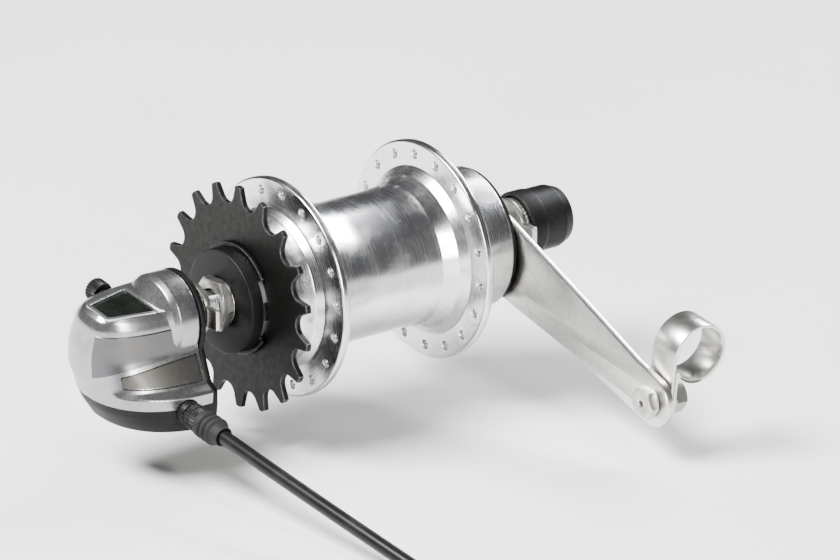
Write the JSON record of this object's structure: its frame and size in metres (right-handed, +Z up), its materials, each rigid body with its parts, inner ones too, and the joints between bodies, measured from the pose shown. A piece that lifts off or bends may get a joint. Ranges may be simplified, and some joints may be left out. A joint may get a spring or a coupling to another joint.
{
  "type": "bicycle hub gear",
  "caption": "Bicycle hub gear with back-pedal brake: epicyclic train in a flanged shell on a fixed axle, with sprocket, shift box, cable end and brake arm.",
  "frame": {"origin": "middle of the hub on the axle's axis, halfway between the two locknut faces", "axes": "+X to the front of the bicycle, +Y to its left, +Z up"},
  "size_m": [0.1953, 0.2002, 0.0911],
  "materials": {
    "axle_with_sun_gear": "machined and ground, lightly greased",
    "right_cone": "machined and ground, lightly greased",
    "brake_lever_cone": "machined and ground, lightly greased",
    "right_locknut": "bright zinc plate",
    "left_locknut": "bright zinc plate",
    "right_dust_shield": "black moulded plastic, fine grained",
    "right_no_turn_washer": "bright zinc plate",
    "left_no_turn_washer": "bright zinc plate",
    "right_axle_nut": "bright zinc plate",
    "left_axle_nut": "bright zinc plate",
    "left_nut_cap": "black moulded plastic, fine grained",
    "brake_mantle": "plain turned brass",
    "brake_friction_spring": "machined and ground, lightly greased",
    "clutch_spring": "machined and ground, lightly greased",
    "brake_arm": "bright zinc plate",
    "arm_clip": "bright zinc plate",
    "clip_bolt": "bright zinc plate",
    "clip_nut": "bright zinc plate",
    "shift_box_base": "black moulded plastic, fine grained",
    "shift_box_cover": "silver lacquer, satin",
    "window_lens": "clear dark plastic over the gear indicator",
    "cover_screw": "bright zinc plate",
    "crank_pivot_pin": "machined and ground, lightly greased",
    "cable_boot": "soft black rubber",
    "cable_casing": "black moulded plastic, fine grained",
    "casing_ferrule": "bright zinc plate",
    "hub_shell": "polished, with a turned grain",
    "right_ball_cup": "machined and ground, lightly greased",
    "left_ball_cup": "machined and ground, lightly greased",
    "left_dust_cap": "black moulded plastic, fine grained",
    "right_ratchet_ring": "machined and ground, lightly greased",
    "left_ratchet_ring": "machined and ground, lightly greased",
    "driver": "machined and ground, lightly greased",
    "sprocket": "dark hardened steel with a film of chain oil",
    "sprocket_circlip": "dark hardened steel with a film of chain oil",
    "sprocket_dust_plate": "black moulded plastic, fine grained",
    "ring_gear": "machined and ground, lightly greased",
    "ring_pawl_1": "dark hardened steel with a film of chain oil",
    "ring_pawl_2": "dark hardened steel with a film of chain oil",
    "planet_cage": "machined and ground, lightly greased",
    "planet_pin_1": "machined and ground, lightly greased",
    "planet_pin_2": "machined and ground, lightly greased",
    "planet_pin_3": "machined and ground, lightly greased",
    "planet_gear_1": "machined and ground, lightly greased",
    "planet_gear_2": "machined and ground, lightly greased",
    "planet_gear_3": "machined and ground, lightly greased",
    "cage_pawl_1": "dark hardened steel with a film of chain oil",
    "cage_pawl_2": "dark hardened steel with a film of chain oil",
    "left_ball_ring": "machined and ground, lightly greased",
    "right_ball_ring": "machined and ground, lightly greased",
    "driver_ball_ring": "machined and ground, lightly greased",
    "shift_rod": "machined and ground, lightly greased",
    "axle_key": "dark hardened steel with a film of chain oil",
    "clutch_spider": "machined and ground, lightly greased",
    "shift_crank": "bright zinc plate",
    "cable_anchor": "plain turned brass",
    "inner_wire": "machined and ground, lightly greased",
    "brake_cone": "machined and ground, lightly greased",
    "clamp_screw": "black moulded plastic, fine grained",
    "cable_adjuster": "black moulded plastic, fine grained"
  },
  "bodies": {
    "axle_unit": {"axle_with_sun_gear": "axle_with_sun_gear", "right_cone": "right_cone", "brake_lever_cone": "brake_lever_cone", "right_locknut": "right_locknut", "left_locknut": "left_locknut", "right_dust_shield": "right_dust_shield", "right_no_turn_washer": "right_no_turn_washer", "left_no_turn_washer": "left_no_turn_washer", "right_axle_nut": "right_axle_nut", "left_axle_nut": "left_axle_nut", "left_nut_cap": "left_nut_cap", "brake_mantle": "brake_mantle", "brake_friction_spring": "brake_friction_spring", "clutch_spring": "clutch_spring", "brake_arm": "brake_arm", "arm_clip": "arm_clip", "clip_bolt": "clip_bolt", "clip_nut": "clip_nut", "shift_box_base": "shift_box_base", "shift_box_cover": "shift_box_cover", "window_lens": "window_lens", "cover_screw": "cover_screw", "crank_pivot_pin": "crank_pivot_pin", "cable_boot": "cable_boot", "cable_casing": "cable_casing", "casing_ferrule": "casing_ferrule"},
    "shell": {"hub_shell": "hub_shell", "right_ball_cup": "right_ball_cup", "left_ball_cup": "left_ball_cup", "left_dust_cap": "left_dust_cap", "right_ratchet_ring": "right_ratchet_ring", "left_ratchet_ring": "left_ratchet_ring"},
    "driver": {"driver": "driver", "sprocket": "sprocket", "sprocket_circlip": "sprocket_circlip", "sprocket_dust_plate": "sprocket_dust_plate"},
    "ring": {"ring_gear": "ring_gear"},
    "ring_pawl_a": {"ring_pawl_1": "ring_pawl_1"},
    "ring_pawl_b": {"ring_pawl_2": "ring_pawl_2"},
    "cage": {"planet_cage": "planet_cage", "planet_pin_1": "planet_pin_1", "planet_pin_2": "planet_pin_2", "planet_pin_3": "planet_pin_3"},
    "planet_a": {"planet_gear_1": "planet_gear_1"},
    "planet_b": {"planet_gear_2": "planet_gear_2"},
    "planet_c": {"planet_gear_3": "planet_gear_3"},
    "cage_pawl_a": {"cage_pawl_1": "cage_pawl_1"},
    "cage_pawl_b": {"cage_pawl_2": "cage_pawl_2"},
    "left_balls": {"left_ball_ring": "left_ball_ring"},
    "right_balls": {"right_ball_ring": "right_ball_ring"},
    "driver_balls": {"driver_ball_ring": "driver_ball_ring"},
    "rod": {"shift_rod": "shift_rod", "axle_key": "axle_key"},
    "clutch": {"clutch_spider": "clutch_spider"},
    "crank": {"shift_crank": "shift_crank", "cable_anchor": "cable_anchor"},
    "wire": {"inner_wire": "inner_wire"},
    "brake_cone_body": {"brake_cone": "brake_cone"},
    "clamp": {"clamp_screw": "clamp_screw"},
    "adjuster": {"cable_adjuster": "cable_adjuster"}
  },
  "joints": [
    {"name": "shell_spin", "type": "hinge", "parent": "axle_unit", "child": "shell", "pos_m": [0, 0, 0], "axis": [0, 1, 0], "continuous": true},
    {"name": "driver_spin", "type": "hinge", "parent": "axle_unit", "child": "driver", "pos_m": [0, 0, 0], "axis": [0, 1, 0], "continuous": true},
    {"name": "ring_spin", "type": "hinge", "parent": "axle_unit", "child": "ring", "pos_m": [0, 0, 0], "axis": [0, 1, 0], "continuous": true},
    {"name": "cage_spin", "type": "hinge", "parent": "axle_unit", "child": "cage", "pos_m": [0, 0, 0], "axis": [0, 1, 0], "continuous": true},
    {"name": "planet_a_spin", "type": "hinge", "parent": "cage", "child": "planet_a", "pos_m": [0.012, 0.006, 0], "axis": [0, 1, 0], "continuous": true},
    {"name": "planet_b_spin", "type": "hinge", "parent": "cage", "child": "planet_b", "pos_m": [-0.006, 0.006, -0.01039], "axis": [0, 1, 0], "continuous": true},
    {"name": "planet_c_spin", "type": "hinge", "parent": "cage", "child": "planet_c", "pos_m": [-0.006, 0.006, 0.01039], "axis": [0, 1, 0], "continuous": true},
    {"name": "left_balls_spin", "type": "hinge", "parent": "axle_unit", "child": "left_balls", "pos_m": [0, 0, 0], "axis": [0, 1, 0], "continuous": true},
    {"name": "right_balls_spin", "type": "hinge", "parent": "axle_unit", "child": "right_balls", "pos_m": [0, 0, 0], "axis": [0, 1, 0], "continuous": true},
    {"name": "driver_balls_spin", "type": "hinge", "parent": "axle_unit", "child": "driver_balls", "pos_m": [0, 0, 0], "axis": [0, 1, 0], "continuous": true},
    {"name": "ring_pawl_a_hinge", "type": "hinge", "parent": "ring", "child": "ring_pawl_a", "pos_m": [0.017, -0.0217, 0], "axis": [0, 1, 0], "range_deg": [0, 12], "stiffness_Nm_per_rad": 0.0005},
    {"name": "ring_pawl_b_hinge", "type": "hinge", "parent": "ring", "child": "ring_pawl_b", "pos_m": [-0.017, -0.0217, 0], "axis": [0, 1, 0], "range_deg": [0, 12], "stiffness_Nm_per_rad": 0.0005},
    {"name": "cage_pawl_a_hinge", "type": "hinge", "parent": "cage", "child": "cage_pawl_a", "pos_m": [0.00383, 0.0184, -0.0143], "axis": [0, 1, 0], "range_deg": [-15, 0], "stiffness_Nm_per_rad": 0.0005},
    {"name": "cage_pawl_b_hinge", "type": "hinge", "parent": "cage", "child": "cage_pawl_b", "pos_m": [-0.00383, 0.0184, 0.0143], "axis": [0, 1, 0], "range_deg": [-15, 0], "stiffness_Nm_per_rad": 0.0005},
    {"name": "crank_turn", "type": "hinge", "parent": "axle_unit", "child": "crank", "pos_m": [0.00896, -0.094, -0.02247], "axis": [0.1392, 0, 0.9903], "range_deg": [-15.5, 15.5]},
    {"name": "rod_slide", "type": "slide", "parent": "axle_unit", "child": "rod", "axis": [0, 1, 0], "range_m": [-0.0032, 0.0032]},
    {"name": "clutch_slide", "type": "slide", "parent": "driver", "child": "clutch", "axis": [0, 1, 0], "range_m": [-0.0032, 0.0032], "deforming": ["clutch_spring"]},
    {"name": "wire_pull", "type": "slide", "parent": "axle_unit", "child": "wire", "axis": [0.9903, 0, -0.1392], "range_m": [-0.0028, 0.0028]},
    {"name": "brake_cone_slide", "type": "slide", "parent": "axle_unit", "child": "brake_cone_body", "axis": [0, 1, 0], "range_m": [0, 0.001]},
    {"name": "clamp_turn", "type": "hinge", "parent": "axle_unit", "child": "clamp", "pos_m": [-0.02052, -0.0895, 0.0049], "axis": [-0.9903, 0, 0.1392], "range_deg": [0, 720]},
    {"name": "adjuster_turn", "type": "hinge", "parent": "axle_unit", "child": "adjuster", "pos_m": [0.02651, -0.084, -0.02695], "axis": [0.9903, 0, -0.1392], "range_deg": [-180, 180]}
  ],
  "couplings": [
    {"joint": "driver_spin", "follows": "shell_spin", "ratio": 1},
    {"joint": "ring_spin", "follows": "shell_spin", "ratio": 1},
    {"joint": "cage_spin", "follows": "shell_spin", "ratio": 0.73333},
    {"joint": "planet_a_spin", "follows": "shell_spin", "ratio": 0.8381},
    {"joint": "planet_b_spin", "follows": "shell_spin", "ratio": 0.8381},
    {"joint": "planet_c_spin", "follows": "shell_spin", "ratio": 0.8381},
    {"joint": "left_balls_spin", "follows": "shell_spin", "ratio": 0.6},
    {"joint": "right_balls_spin", "follows": "shell_spin", "ratio": 1},
    {"joint": "driver_balls_spin", "follows": "shell_spin", "ratio": 0.587},
    {"joint": "clutch_slide", "follows": "rod_slide", "ratio": 1},
    {"joint": "crank_turn", "follows": "rod_slide", "rad_per_m": -83.333},
    {"joint": "wire_pull", "follows": "rod_slide", "ratio": 0.83333}
  ]
}
